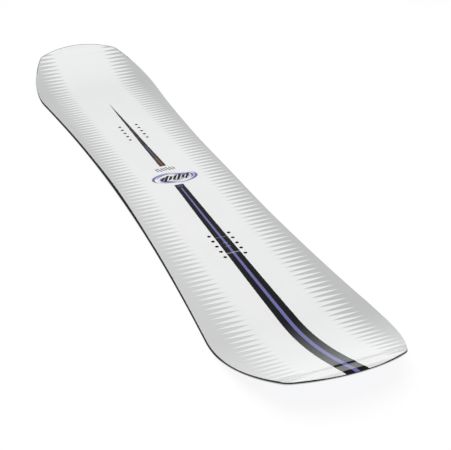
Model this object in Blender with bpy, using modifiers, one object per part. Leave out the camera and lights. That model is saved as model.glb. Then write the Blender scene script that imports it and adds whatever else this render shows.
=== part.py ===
"""All-mountain twin snowboard: base, steel edges, fibreglass, wood core, inserts and topsheet.

Every layer is drawn flat, as it is cut on the bench, and then pressed to the camber and
tip curve. Flat coordinates are s along the board, y across it and a depth measured from
the running surface upwards. The finished board lies along X, with +Z up and its two
contact lines on Z = 0.
"""

from math import asin, atan2, cos, copysign, pi, radians, sin

import bmesh
import bpy
import numpy as np
from mathutils import Matrix

# Outline, metres and degrees.
WAIST_WIDTH = 0.2446
SIDECUT_RADIUS = 6.4
SIDECUT_END = 0.538
SHOULDER_RADIUS = 0.384
SHOULDER_TURN = 27.0
CORNER_RADIUS = 0.030
CORNER_TURN = 31.5
SIDECUT_STEPS = 6
SHOULDER_STEPS = 8
CORNER_STEPS = 4
FRONT_STEPS = 6

# Side view: camber between the contact lines, then a tight kick and a long tip curve.
CAMBER = 0.003
CONTACT = 0.540
KICK_RADIUS = 0.31
KICK_LENGTH = 0.063
TIP_RADIUS = 0.92

# Board thickness at each distance from the middle, eased in between.
THICKNESS_AT = ((0.0, 0.0122), (0.24, 0.0089), (0.53, 0.0072), (0.66, 0.0038), (1.0, 0.0038))

# Layers, measured up from the running surface or down from the top surface.
GLUE_LINE = 0.0002
BASE_THICKNESS = 0.0011
GLASS_THICKNESS = 0.0004
FOIL_THICKNESS = 0.0003
TOPSHEET_THICKNESS = 0.00045
FLANGE_LOW = BASE_THICKNESS + GLUE_LINE
FLANGE_HIGH = FLANGE_LOW + GLASS_THICKNESS
CORE_LOW = FLANGE_HIGH + GLUE_LINE
FOIL_HIGH = CORE_LOW + FOIL_THICKNESS
SIDEWALL_LOW = FOIL_HIGH + GLUE_LINE
GLASS_DROP = TOPSHEET_THICKNESS + GLUE_LINE
CORE_DROP = GLASS_DROP + GLASS_THICKNESS + GLUE_LINE

# Distances inwards from the topsheet's outline.
EDGE_PROUD = 0.0005
EDGE_HEAD_WIDTH = 0.0022
EDGE_FLANGE_WIDTH = 0.0075
SIDEWALL_INSET = 0.0003
SIDEWALL_WIDTH = 0.0080
FIT_GAP = 0.0003

CORE_END = 0.600
STRINGER_WIDTH = 0.020
STRINGER_COUNT = 11

# Inserts: two packs of two rows, M6.
STANCE = 0.560
INSERT_PITCH = 0.020
INSERT_ROW_SPACING = 0.040
INSERTS_PER_ROW = 5
INSERT_MOUTH_RADIUS = 0.0035
INSERT_BORE_RADIUS = 0.0027
INSERT_BARREL_RADIUS = 0.0042
INSERT_FLANGE_RADIUS = 0.0080
INSERT_FLANGE_THICKNESS = 0.0012
INSERT_LOW = CORE_LOW + 0.0001
INSERT_HIGH = 0.0078
INSERT_BORE_DEPTH = 0.0048
ROUND_STEPS = 8

# Base inlays: two side stripes and four streaks that widen towards the nose.
STRIPE_INNER = 0.0650
STRIPE_OUTER = 0.0836
STRIPE_FLARE = 0.0215
STREAKS = {
    "outer": {"start": 0.010, "place": 0.0435, "inward": 0.0290, "outward": 0.0030},
    "inner": {"start": 0.174, "place": 0.0130, "inward": 0.0200, "outward": 0.0130},
}
INLAY_GAP = 0.0003

MATERIALS = {
    "topsheet": ((0.80, 0.81, 0.82), 0.22, 0.0),
    "fibreglass": ((0.62, 0.66, 0.55), 0.45, 0.0),
    "core_light": ((0.72, 0.53, 0.32), 0.60, 0.0),
    "core_dark": ((0.55, 0.36, 0.19), 0.60, 0.0),
    "sidewall": ((0.020, 0.020, 0.022), 0.45, 0.0),
    "rubber": ((0.030, 0.030, 0.030), 0.80, 0.0),
    "edge_steel": ((0.62, 0.62, 0.63), 0.28, 1.0),
    "insert_steel": ((0.50, 0.50, 0.50), 0.35, 1.0),
    "base_black": ((0.035, 0.036, 0.040), 0.30, 0.0),
    "base_lavender": ((0.33, 0.35, 0.65), 0.30, 0.0),
}


def clear_scene():
    for thing in list(bpy.data.objects):
        bpy.data.objects.remove(thing, do_unlink=True)


def material(name):
    made = bpy.data.materials.get(name)
    if made:
        return made
    made = bpy.data.materials.new(name)
    made.use_nodes = True
    colour, roughness, metallic = MATERIALS[name]
    shader = made.node_tree.nodes["Principled BSDF"]
    shader.inputs["Base Color"].default_value = (*colour, 1.0)
    shader.inputs["Roughness"].default_value = roughness
    shader.inputs["Metallic"].default_value = metallic
    made.diffuse_color = (*colour, 1.0)
    return made


# ---------------------------------------------------------------- side view

def slope(s):
    """Angle of the running surface at distance s from the middle."""
    if s < CONTACT:
        part = s / CONTACT
        return -4.0 * CAMBER / CONTACT * part * (1.0 - part * part)
    if s < CONTACT + KICK_LENGTH:
        return (s - CONTACT) / KICK_RADIUS
    return KICK_LENGTH / KICK_RADIUS + (s - CONTACT - KICK_LENGTH) / TIP_RADIUS


def thickness(s):
    """Whole thickness of the board at distance s from the middle."""
    for (near, thick), (far, thin) in zip(THICKNESS_AT, THICKNESS_AT[1:]):
        if s <= far:
            ease = (1.0 - cos(pi * (s - near) / (far - near))) / 2.0
            return thick + (thin - thick) * ease
    return THICKNESS_AT[-1][1]


def station_list():
    """Cross lines where the layers bend; one passes through every insert."""
    middle = [0.0, 0.06, 0.12, 0.18]
    first = (STANCE - (INSERTS_PER_ROW - 1) * INSERT_PITCH) / 2.0
    pack = [first + INSERT_PITCH * number for number in range(INSERTS_PER_ROW)]
    run = [0.39, 0.46, 0.51]
    kick = [CONTACT + KICK_LENGTH * step / 3 for step in range(4)]
    tip = [0.635, 0.67, 0.71, 0.75, 0.79]
    half = middle + pack + run + kick + tip
    return [-s for s in reversed(half[1:])] + half


STATIONS = station_list()
SEAT_HALF = (INSERTS_PER_ROW - 1) * INSERT_PITCH / 2.0
# The board stays flat under each binding, so the lines inside a pack are no bends.
BENDS = [s for s in STATIONS if abs(abs(s) - STANCE / 2.0) > SEAT_HALF - 0.001]


def pressed_line():
    """World X and Z of the running surface and its slope at every bend."""
    steps = 2000
    fine = np.linspace(0.0, BENDS[-1], steps + 1)
    angle = np.array([slope(s) for s in fine])
    middle = (angle[1:] + angle[:-1]) / 2.0
    length = BENDS[-1] / steps
    x = np.concatenate(([0.0], np.cumsum(np.cos(middle) * length)))
    z = np.concatenate(([0.0], np.cumsum(np.sin(middle) * length)))
    z += CAMBER
    rows = []
    for s in BENDS:
        side = 1.0 if s >= 0.0 else -1.0
        rows.append((side * np.interp(abs(s), fine, x), np.interp(abs(s), fine, z), side * slope(abs(s))))
    return rows


PRESSED = pressed_line()


def press(s, y, depth):
    """World point of flat place (s, y), where depth is a function of s."""
    xs = [x - sin(turn) * depth(bend) for bend, (x, _, turn) in zip(BENDS, PRESSED)]
    zs = [z + cos(turn) * depth(bend) for bend, (_, z, turn) in zip(BENDS, PRESSED)]
    return np.interp(s, BENDS, xs), y, np.interp(s, BENDS, zs)


def seat_turn(side):
    """Rotation about Y of the flat seat on one side of the middle."""
    near = press(side * (STANCE / 2.0 - SEAT_HALF), 0.0, above_base(0.0))
    far = press(side * (STANCE / 2.0 + SEAT_HALF), 0.0, above_base(0.0))
    return -atan2((far[2] - near[2]) * side, abs(far[0] - near[0]))


def above_base(height):
    return lambda s: height


def below_top(drop):
    return lambda s: thickness(abs(s)) - drop


# ---------------------------------------------------------------- plan view

def quarter_outline(inset):
    """Outline from the waist to the tip's middle, moved inwards by inset."""
    end_turn = asin(SIDECUT_END / SIDECUT_RADIUS)
    corner = -radians(SHOULDER_TURN)
    front = corner - radians(CORNER_TURN)
    waist = WAIST_WIDTH / 2.0
    sidecut = SIDECUT_RADIUS + inset
    points = []
    for step in range(SIDECUT_STEPS + 1):
        turn = end_turn * step / SIDECUT_STEPS
        points.append((sidecut * sin(turn), waist - inset + sidecut * (1.0 - cos(turn))))
    full = waist + SIDECUT_RADIUS * (1.0 - cos(end_turn))
    full += SHOULDER_RADIUS * (cos(corner) - cos(end_turn))
    full += CORNER_RADIUS * (cos(front) - cos(corner))
    front_radius = full / cos(front)
    arcs = (
        (end_turn, corner, SHOULDER_RADIUS, SHOULDER_STEPS),
        (corner, front, CORNER_RADIUS, CORNER_STEPS),
        (front, -pi / 2.0, front_radius, FRONT_STEPS),
    )
    for start, stop, radius, steps in arcs:
        s, y = points[-1]
        for step in range(1, steps + 1):
            turn = start + (stop - start) * step / steps
            points.append((
                s + (radius - inset) * (sin(start) - sin(turn)),
                y + (radius - inset) * (cos(turn) - cos(start)),
            ))
    points[-1] = (points[-1][0], 0.0)
    return points


def half_outline(inset):
    """Outline on the +y side from the tail's middle round to the nose's middle."""
    quarter = quarter_outline(inset)
    return [(-s, y) for s, y in reversed(quarter[1:])] + quarter


def full_outline(inset):
    half = half_outline(inset)
    return half + [(s, -y) for s, y in reversed(half[1:-1])]


def trimmed(loop, along, across, limit):
    """The part of a flat loop where along * s + across * y is at most limit."""
    kept = []
    for (s0, y0), (s1, y1) in zip(loop, loop[1:] + loop[:1]):
        over0 = along * s0 + across * y0 - limit
        over1 = along * s1 + across * y1 - limit
        if over0 <= 0.0:
            kept.append((s0, y0))
        if (over0 < 0.0 < over1) or (over1 < 0.0 < over0):
            part = over0 / (over0 - over1)
            kept.append((s0 + (s1 - s0) * part, y0 + (y1 - y0) * part))
    return kept


def hole(s, y, radius):
    turns = [2.0 * pi * step / ROUND_STEPS for step in range(ROUND_STEPS)]
    return [(s + radius * cos(turn), y + radius * sin(turn)) for turn in turns]


def insert_places():
    """Pack name, number and flat place of every insert."""
    places = []
    for pack, side in (("rear", -1.0), ("front", 1.0)):
        number = 0
        for row in (-1.0, 1.0):
            for step in range(INSERTS_PER_ROW):
                number += 1
                s = side * STANCE / 2.0 + (step - (INSERTS_PER_ROW - 1) / 2.0) * INSERT_PITCH
                places.append((pack, number, s, row * INSERT_ROW_SPACING / 2.0))
    return places


# ---------------------------------------------------------------- making pieces

def add_piece(name, mesh, slot, parts):
    mesh.materials.clear()
    mesh.materials.append(material(slot))
    piece = bpy.data.objects.new(name, mesh)
    parts.objects.link(piece)
    return piece


def flat_plate(loops):
    """A plate of height 1 about z = 0, filled between the flat loops."""
    curve = bpy.data.curves.new("cut_plate", "CURVE")
    curve.dimensions = "2D"
    curve.fill_mode = "BOTH"
    curve.extrude = 0.5
    for loop in loops:
        spline = curve.splines.new("POLY")
        spline.points.add(len(loop) - 1)
        for point, (s, y) in zip(spline.points, loop):
            point.co = (s, y, 0.0, 1.0)
        spline.use_cyclic_u = True
    guide = bpy.data.objects.new("cut_plate", curve)
    bpy.context.scene.collection.objects.link(guide)
    evaluated = guide.evaluated_get(bpy.context.evaluated_depsgraph_get())
    mesh = bpy.data.meshes.new_from_object(evaluated)
    bpy.data.objects.remove(guide, do_unlink=True)
    bpy.data.curves.remove(curve)
    return mesh


def score(plate):
    """Cut the plate along every station and clear the fill's other inner lines."""
    bmesh.ops.remove_doubles(plate, verts=plate.verts, dist=1e-6)
    reach = [vert.co.x for vert in plate.verts]
    for s in STATIONS:
        if min(reach) + 1e-6 < s < max(reach) - 1e-6:
            parts = plate.verts[:] + plate.edges[:] + plate.faces[:]
            bmesh.ops.bisect_plane(plate, geom=parts, dist=1e-6, plane_co=(s, 0, 0), plane_no=(1, 0, 0))
    loose = []
    for edge in plate.edges:
        first, second = edge.verts
        on_station = any(abs(first.co.x - s) < 1e-5 and abs(second.co.x - s) < 1e-5 for s in STATIONS)
        flat = abs(first.co.z - second.co.z) < 0.5 and edge.calc_face_angle(1.0) < 0.01
        if flat and not on_station:
            loose.append(edge)
    bmesh.ops.dissolve_edges(plate, edges=loose, use_verts=True)
    bmesh.ops.recalc_face_normals(plate, faces=plate.faces)


def layer(name, mesh, low, high, slot, parts):
    """A flat plate pressed between two depths of the board's side view."""
    plate = bmesh.new()
    plate.from_mesh(mesh)
    score(plate)
    for vert in plate.verts:
        depth = high if vert.co.z > 0.0 else low
        vert.co = press(vert.co.x, vert.co.y, depth)
    bmesh.ops.recalc_face_normals(plate, faces=plate.faces)
    plate.to_mesh(mesh)
    plate.free()
    mesh.name = name
    return add_piece(name, mesh, slot, parts)


def cut_with(plate_mesh, cutter_meshes):
    """The plate less all the cutters."""
    body = bpy.data.objects.new("blank", plate_mesh)
    bpy.context.scene.collection.objects.link(body)
    tools = []
    for mesh in cutter_meshes:
        tool = bpy.data.objects.new("cutter", mesh)
        bpy.context.scene.collection.objects.link(tool)
        tools.append(tool)
        cut = body.modifiers.new("cut", "BOOLEAN")
        cut.operation = "DIFFERENCE"
        cut.solver = "EXACT"
        cut.object = tool
    evaluated = body.evaluated_get(bpy.context.evaluated_depsgraph_get())
    result = bpy.data.meshes.new_from_object(evaluated)
    for thing in tools + [body]:
        bpy.data.objects.remove(thing, do_unlink=True)
    return result


# ---------------------------------------------------------------- base

def streak_blank(centre, streak, side):
    """One streak inlay: a wedge that opens towards the nose."""
    place, start = streak["place"], streak["start"]
    limit_out = place - streak["outward"] * start - INLAY_GAP
    limit_in = -place - streak["inward"] * start - INLAY_GAP
    wedge = trimmed(centre, -streak["outward"], side, limit_out)
    return trimmed(wedge, -streak["inward"], -side, limit_in)


def streak_slot(streak, side):
    """Taller wedge that cuts the streak's slot out of the base sheet."""
    reach = 1.0 - streak["start"]
    tip = (streak["start"], side * streak["place"])
    near = (1.0, side * (streak["place"] - streak["inward"] * reach))
    far = (1.0, side * (streak["place"] + streak["outward"] * reach))
    slot = flat_plate([[tip, near, far]])
    for vert in slot.vertices:
        vert.co.z *= 2.0
    return slot


def make_base(parts):
    low, high = above_base(0.0), above_base(BASE_THICKNESS)
    blank = full_outline(EDGE_HEAD_WIDTH - EDGE_PROUD + FIT_GAP)
    gap = INLAY_GAP / 2.0
    centre = trimmed(trimmed(blank, 0, 1, STRIPE_INNER - gap), 0, -1, STRIPE_INNER - gap)
    slots = []
    for kind, streak in STREAKS.items():
        for name, side in (("left", 1), ("right", -1)):
            inlay = streak_blank(centre, streak, side)
            layer(f"base_streak_{kind}_{name}", flat_plate([inlay]), low, high, "base_lavender", parts)
            slots.append(streak_slot(streak, side))
    layer("base_centre", cut_with(flat_plate([centre]), slots), low, high, "base_black", parts)
    for name, side in (("left", 1), ("right", -1)):
        outside = trimmed(blank, 0, -side, -STRIPE_INNER - gap)
        stripe = trimmed(outside, -STRIPE_FLARE, side, STRIPE_OUTER - gap)
        rail = trimmed(blank, STRIPE_FLARE, -side, -STRIPE_OUTER - gap)
        layer("base_stripe_" + name, flat_plate([stripe]), low, high, "base_lavender", parts)
        layer("base_rail_" + name, flat_plate([rail]), low, high, "base_black", parts)


# ---------------------------------------------------------------- edges and sidewalls

def make_edge(name, side, parts):
    """Steel edge: a head that meets the snow and a thin flange under the fibreglass."""
    section = (
        (-EDGE_PROUD, 0.0),
        (-EDGE_PROUD, FLANGE_HIGH),
        (EDGE_FLANGE_WIDTH, FLANGE_HIGH),
        (EDGE_FLANGE_WIDTH, FLANGE_LOW),
        (EDGE_HEAD_WIDTH - EDGE_PROUD, FLANGE_LOW),
        (EDGE_HEAD_WIDTH - EDGE_PROUD, 0.0),
    )
    edge = bmesh.new()
    rings = []
    for inset, height in section:
        line = [(s, max(y, FIT_GAP / 2.0)) for s, y in half_outline(inset)]
        rings.append([edge.verts.new((s, side * y, height)) for s, y in line])
    for ring, following in zip(rings, rings[1:] + rings[:1]):
        for step in range(len(ring) - 1):
            edge.faces.new((ring[step], ring[step + 1], following[step + 1], following[step]))
    edge.faces.new([ring[0] for ring in rings])
    edge.faces.new([ring[-1] for ring in reversed(rings)])
    for s in STATIONS:
        geometry = edge.verts[:] + edge.edges[:] + edge.faces[:]
        bmesh.ops.bisect_plane(edge, geom=geometry, dist=1e-6, plane_co=(s, 0, 0), plane_no=(1, 0, 0))
    for vert in edge.verts:
        vert.co = press(vert.co.x, vert.co.y, above_base(vert.co.z))
    bmesh.ops.recalc_face_normals(edge, faces=edge.faces)
    mesh = bpy.data.meshes.new(name)
    edge.to_mesh(mesh)
    edge.free()
    add_piece(name, mesh, "edge_steel", parts)


def side_strip(side, outer, inner):
    """Flat strip along one side between two insets, as long as the core."""
    outside = [(s, side * y) for s, y in half_outline(outer)]
    inside = [(s, side * y) for s, y in half_outline(inner)]
    strip = outside + inside[::-1]
    return trimmed(trimmed(strip, 1, 0, CORE_END), -1, 0, CORE_END)


def make_sides(parts):
    for name, side in (("left", 1), ("right", -1)):
        make_edge("edge_" + name, side, parts)
        foil = side_strip(side, SIDEWALL_INSET * 2.0, EDGE_FLANGE_WIDTH - FIT_GAP)
        wall = side_strip(side, SIDEWALL_INSET, SIDEWALL_WIDTH)
        layer("edge_foil_" + name, flat_plate([foil]), above_base(CORE_LOW), above_base(FOIL_HIGH),
              "rubber", parts)
        layer("sidewall_" + name, flat_plate([wall]), above_base(SIDEWALL_LOW), below_top(CORE_DROP),
              "sidewall", parts)


# ---------------------------------------------------------------- core

def recess_cutter(s, y):
    """Cylinder that makes room under the core for one insert's flange."""
    radius = INSERT_FLANGE_RADIUS + FIT_GAP
    height = INSERT_FLANGE_THICKNESS + 2.0 * FIT_GAP
    cutter = bmesh.new()
    bmesh.ops.create_cone(cutter, cap_ends=True, segments=ROUND_STEPS, radius1=radius, radius2=radius,
                          depth=2.0 * height)
    foot_x, _, foot_z = press(s, y, above_base(CORE_LOW))
    turn = Matrix.Rotation(seat_turn(copysign(1.0, s)), 3, "Y")
    bmesh.ops.rotate(cutter, verts=cutter.verts, matrix=turn)
    bmesh.ops.translate(cutter, verts=cutter.verts, vec=(foot_x, y, foot_z))
    mesh = bpy.data.meshes.new("recess")
    cutter.to_mesh(mesh)
    cutter.free()
    return mesh


def make_core(parts):
    """Wood stringers side by side, with a plastic spacer filling each tip."""
    low, high = above_base(CORE_LOW), below_top(CORE_DROP)
    blank = full_outline(SIDEWALL_WIDTH + FIT_GAP)
    blank = trimmed(trimmed(blank, 1, 0, CORE_END), -1, 0, CORE_END)
    first = -STRINGER_WIDTH * (STRINGER_COUNT - 2) / 2.0
    for number in range(1, STRINGER_COUNT + 1):
        strip = blank
        lower = first + STRINGER_WIDTH * (number - 2)
        if number > 1:
            strip = trimmed(strip, 0, -1, -lower - GLUE_LINE / 2.0)
        if number < STRINGER_COUNT:
            strip = trimmed(strip, 0, 1, lower + STRINGER_WIDTH - GLUE_LINE / 2.0)
        middle = lower + STRINGER_WIDTH / 2.0
        bored = [(s, y) for _, _, s, y in insert_places() if abs(y - middle) < 0.001]
        holes = [hole(s, y, INSERT_BARREL_RADIUS + FIT_GAP) for s, y in bored]
        slot = "core_light" if number % 2 else "core_dark"
        stringer = layer(f"core_stringer_{number:02d}", flat_plate([strip] + holes), low, high, slot, parts)
        if bored:
            stringer.data = cut_with(stringer.data, [recess_cutter(s, y) for s, y in bored])
    spacer = full_outline(SIDEWALL_INSET)
    for name, side in (("nose", 1), ("tail", -1)):
        end = trimmed(spacer, -side, 0, -CORE_END - FIT_GAP)
        layer(name + "_spacer", flat_plate([end]), low, high, "sidewall", parts)


# ---------------------------------------------------------------- inserts

def insert_mesh():
    """Turned threaded insert: flange below, barrel above, blind bore."""
    profile = (
        (0.0, INSERT_HIGH - INSERT_BORE_DEPTH),
        (INSERT_BORE_RADIUS, INSERT_HIGH - INSERT_BORE_DEPTH),
        (INSERT_BORE_RADIUS, INSERT_HIGH),
        (INSERT_BARREL_RADIUS, INSERT_HIGH),
        (INSERT_BARREL_RADIUS, INSERT_LOW + INSERT_FLANGE_THICKNESS),
        (INSERT_FLANGE_RADIUS, INSERT_LOW + INSERT_FLANGE_THICKNESS),
        (INSERT_FLANGE_RADIUS, INSERT_LOW),
        (0.0, INSERT_LOW),
    )
    mesh = bpy.data.meshes.new("insert_profile")
    mesh.from_pydata([(radius, 0.0, height) for radius, height in profile],
                     [(step, step + 1) for step in range(len(profile) - 1)], [])
    guide = bpy.data.objects.new("insert_profile", mesh)
    bpy.context.scene.collection.objects.link(guide)
    turned = guide.modifiers.new("turned", "SCREW")
    turned.steps = ROUND_STEPS
    turned.render_steps = ROUND_STEPS
    turned.use_merge_vertices = True
    turned.merge_threshold = 0.00001
    evaluated = guide.evaluated_get(bpy.context.evaluated_depsgraph_get())
    result = bpy.data.meshes.new_from_object(evaluated)
    bpy.data.objects.remove(guide, do_unlink=True)
    result.name = "insert"
    result.materials.append(material("insert_steel"))
    result.shade_smooth()
    result.set_sharp_from_angle(angle=radians(40.0))
    return result


def make_inserts(parts):
    mesh = insert_mesh()
    for pack, number, s, y in insert_places():
        piece = bpy.data.objects.new(f"insert_{pack}_{number:02d}", mesh)
        x, _, z = press(s, y, above_base(0.0))
        piece.location = (x, y, z)
        piece.rotation_euler.y = seat_turn(copysign(1.0, s))
        parts.objects.link(piece)


# ---------------------------------------------------------------- skins

def make_skins(parts):
    """Fibreglass under and over the core, and the topsheet."""
    lower = full_outline(EDGE_FLANGE_WIDTH + FIT_GAP)
    layer("lower_fibreglass", flat_plate([lower]), above_base(FLANGE_LOW), above_base(FLANGE_HIGH),
          "fibreglass", parts)
    barrel_holes = [hole(s, y, INSERT_BARREL_RADIUS + FIT_GAP) for _, _, s, y in insert_places()]
    upper = flat_plate([full_outline(SIDEWALL_INSET)] + barrel_holes)
    glass_high = below_top(GLASS_DROP)
    layer("upper_fibreglass", upper, below_top(GLASS_DROP + GLASS_THICKNESS), glass_high, "fibreglass", parts)
    mouths = [hole(s, y, INSERT_MOUTH_RADIUS) for _, _, s, y in insert_places()]
    sheet = flat_plate([full_outline(0.0)] + mouths)
    layer("topsheet", sheet, below_top(TOPSHEET_THICKNESS), below_top(0.0), "topsheet", parts)


def main():
    clear_scene()
    parts = bpy.data.collections.new("snowboard")
    bpy.context.scene.collection.children.link(parts)
    make_base(parts)
    make_sides(parts)
    make_core(parts)
    make_inserts(parts)
    make_skins(parts)


main()
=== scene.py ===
"""Finished look of an all-mountain twin snowboard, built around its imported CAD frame.

Pieces are laid out flat on the bench first: X is the distance along the board, Y across it
and Z the height above the running surface. Then they are pressed to the camber and the tip
curve. The nose points along +X and the running surface touches Z = 0.
"""

from math import asin, cos, pi, radians, sin

import bpy
import numpy as np
from bpy.props import FloatProperty, FloatVectorProperty, PointerProperty
from mathutils import Matrix, Vector


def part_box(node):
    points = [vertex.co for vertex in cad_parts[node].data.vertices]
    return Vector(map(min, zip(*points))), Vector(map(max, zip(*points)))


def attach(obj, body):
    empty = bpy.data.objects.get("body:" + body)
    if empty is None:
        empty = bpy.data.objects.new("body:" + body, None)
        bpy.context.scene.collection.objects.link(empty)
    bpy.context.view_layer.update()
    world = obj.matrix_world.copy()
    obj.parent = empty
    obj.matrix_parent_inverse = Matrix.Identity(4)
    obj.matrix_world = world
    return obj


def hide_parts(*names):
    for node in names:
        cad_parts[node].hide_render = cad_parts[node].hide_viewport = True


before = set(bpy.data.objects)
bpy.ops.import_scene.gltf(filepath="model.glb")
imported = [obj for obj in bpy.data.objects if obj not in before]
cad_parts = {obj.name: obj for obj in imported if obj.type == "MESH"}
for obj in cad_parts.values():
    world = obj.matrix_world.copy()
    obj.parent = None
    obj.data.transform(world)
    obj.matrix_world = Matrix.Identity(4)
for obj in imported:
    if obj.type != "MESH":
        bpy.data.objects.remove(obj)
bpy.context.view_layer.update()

bl_info = {
    "name": "Snowboard",
    "version": (1, 0, 0),
    "blender": (4, 5, 0),
    "location": "View3D > Sidebar > Snowboard",
    "description": "Builds the finished layers, edges and inserts of a snowboard",
    "category": "Object",
}

ROOT = "root"
SIDES = (("left", 1.0), ("right", -1.0))
SMOOTH_BELOW = radians(30.0)
RIM_LABELS = ("rim_place", "rim_inward")
FINE = {"sidecut": 46, "shoulder": 88, "corner": 5, "front": 20}
PLAIN = {"sidecut": 30, "shoulder": 40, "corner": 3, "front": 12}
# Half the width over which a printed line fades, and where the print's shapes start and end.
PRINT_EDGE = 0.00015
TOOTH_PITCH, TOOTH_PHASE, TOOTH_TIP, TOOTH_LENGTH = 0.01505, 0.0035, 0.059, 0.060
REAR_STRIPE = (-0.478, -0.075)
REAR_LINE = (-0.195, -0.1235)
REAR_BARS = (-0.1225, -0.0775)
FRONT_START, FRONT_FLARE, FRONT_HALF = 0.02125, 0.0119, 0.00985
LINE_START, LINE_FLARE, LINE_HALF = 0.0375, 0.0032, 0.0016
TICK_ROW, TICK_ENDS = 0.0587, (-0.0225, 0.020)
BADGE_MIDDLE, BADGE_HALF = (-0.0125, 0.004), (0.0275, 0.050)
CREASE, CREASE_WIDTH, GROUND_BAND = 0.7295, 0.0060, 0.7590
RIM_ROWS = (0.014, 0.0128, 0.012, 0.0112, 0.009, 0.0065, 0.004, 0.002, 0.0014, 0.0009, 0.0004, 0.00025,
            0.00012, 0.00004, 0.0)


# ---- sizes and colours

def length(name, default, description):
    return FloatProperty(name=name, description=description, default=default, unit="LENGTH", precision=4)


def colour(name, default, description):
    return FloatVectorProperty(name=name, description=description, default=default, subtype="COLOR",
                               size=3, min=0.0, max=1.0)


class SnowboardShape(bpy.types.PropertyGroup):
    """Sizes of the outline, the side view and the layers."""

    waist_width: length("Waist width", 0.2446, "Narrowest width of the topsheet")
    sidecut_radius: length("Sidecut radius", 6.4, "Radius of the waist's long curve")
    sidecut_end: length("Sidecut end", 0.538, "Distance from the middle to the widest place")
    shoulder_radius: length("Shoulder radius", 0.384, "Radius from the widest place to the corner")
    shoulder_turn: FloatProperty(name="Shoulder turn", description="Heading where the corner starts",
                                 default=radians(27.0), subtype="ANGLE")
    corner_radius: length("Corner radius", 0.030, "Radius of the rounded tip corner")
    corner_turn: FloatProperty(name="Corner turn", description="How far the corner turns",
                               default=radians(31.5), subtype="ANGLE")
    camber: length("Camber", 0.003, "Height of the running surface at the middle")
    contact: length("Contact", 0.540, "Distance from the middle to the contact line")
    kick_radius: length("Kick radius", 0.31, "Tight bend just past the contact line")
    kick_length: length("Kick length", 0.063, "Length of the tight bend")
    tip_radius: length("Tip radius", 0.92, "Long bend of the nose and tail")
    base_thickness: length("Base thickness", 0.0011, "Polyethylene sheet")
    topsheet_thickness: length("Topsheet thickness", 0.00045, "Printed top layer")
    step_height: length("Tip step", 0.0007, "Step where the tip filler ends")
    step_place: length("Tip step place", 0.7410, "Distance of that step from the middle")
    ground_drop: length("Ground drop", 0.0012, "How far the end of each tip is ground down")
    ground_start: length("Ground start", 0.7705, "Distance from the middle where that starts")
    mouth_radius: length("Insert mouth radius", 0.0035, "Hole in the topsheet over each insert")


class SnowboardFinish(bpy.types.PropertyGroup):
    """Colours of the print, the base and the metal."""

    white: colour("White", (0.795, 0.795, 0.796), "Field of the topsheet")
    shade_left: colour("Left grey", (0.500, 0.500, 0.503), "Spikes and border on the left")
    shade_right: colour("Right grey", (0.585, 0.585, 0.588), "Spikes and border on the nose's right")
    shade_rear: colour("Rear right grey", (0.535, 0.535, 0.538), "Spikes and border on the tail's right")
    black: colour("Print black", (0.0075, 0.0078, 0.0085), "Centre stripes of the topsheet")
    purple: colour("Purple", (0.153, 0.147, 0.367), "Centre line and badge")
    orange: colour("Orange", (0.230, 0.095, 0.033), "Bars at the end of the rear stripe")
    base_black: colour("Base black", (0.028, 0.030, 0.036), "Polyethylene field")
    base_lavender: colour("Base lavender", (0.300, 0.335, 0.640), "Polyethylene inlays")
    sidewall: colour("Sidewall", (0.0065, 0.0065, 0.007), "Milled side strips and the topsheet's edge")
    filler: colour("Tip filler", (0.045, 0.045, 0.048), "Moulded plastic in the tips")
    steel: colour("Edge steel", (0.54, 0.54, 0.55), "Running edges")
    zinc: colour("Insert zinc", (0.16, 0.16, 0.165), "Plated threaded inserts")


class SnowboardStage(bpy.types.PropertyGroup):
    """Light and floor."""

    key_power: FloatProperty(name="Overhead light", description="Large soft light above the board",
                             default=99.0, unit="POWER")
    floor_glow: FloatProperty(name="Floor glow", description="Share of the floor lit from below",
                              default=0.90, min=0.0, max=1.0)


# ---- bench tools

def deselect():
    bpy.ops.object.select_all(action="DESELECT")


def select_only(thing):
    deselect()
    thing.select_set(True)
    bpy.context.view_layer.objects.active = thing


def edit_mode():
    bpy.ops.object.mode_set(mode="EDIT")


def object_mode():
    bpy.ops.object.mode_set(mode="OBJECT")


def edit_all(thing):
    """Open a piece in edit mode with all of it selected."""
    select_only(thing)
    edit_mode()
    bpy.ops.mesh.select_mode(type="VERT")
    bpy.ops.mesh.select_all(action="SELECT")


def vectors(collection, key):
    flat = np.zeros(len(collection) * 3)
    collection.foreach_get(key, flat)
    return flat.reshape(-1, 3)


def places(thing):
    return vectors(thing.data.vertices, "co")


def put(thing, points):
    thing.data.vertices.foreach_set("co", np.asarray(points, float).ravel())
    thing.data.update()


def just_extruded(thing):
    """Which points the last extrusion left selected."""
    chosen = np.zeros(len(thing.data.vertices), bool)
    thing.data.vertices.foreach_get("select", chosen)
    return chosen


def tidy_normals(thing, merge=1e-7):
    edit_all(thing)
    bpy.ops.mesh.remove_doubles(threshold=merge)
    bpy.ops.mesh.normals_make_consistent()
    object_mode()


def close_ends(thing):
    edit_all(thing)
    bpy.ops.mesh.fill_holes(sides=0)
    bpy.ops.mesh.normals_make_consistent()
    object_mode()


def new_grid(name, rows, columns):
    """A flat grid from -1 to 1 both ways."""
    deselect()
    bpy.ops.mesh.primitive_grid_add(x_subdivisions=rows, y_subdivisions=columns, size=2.0)
    grid = bpy.context.object
    grid.name = name
    grid.data.name = name
    return grid


def discard(thing):
    bpy.data.objects.remove(thing, do_unlink=True)


def copy_of(thing, name):
    made = thing.copy()
    made.data = thing.data.copy()
    made.name = name
    made.data.name = name
    bpy.context.scene.collection.objects.link(made)
    return made


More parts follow.
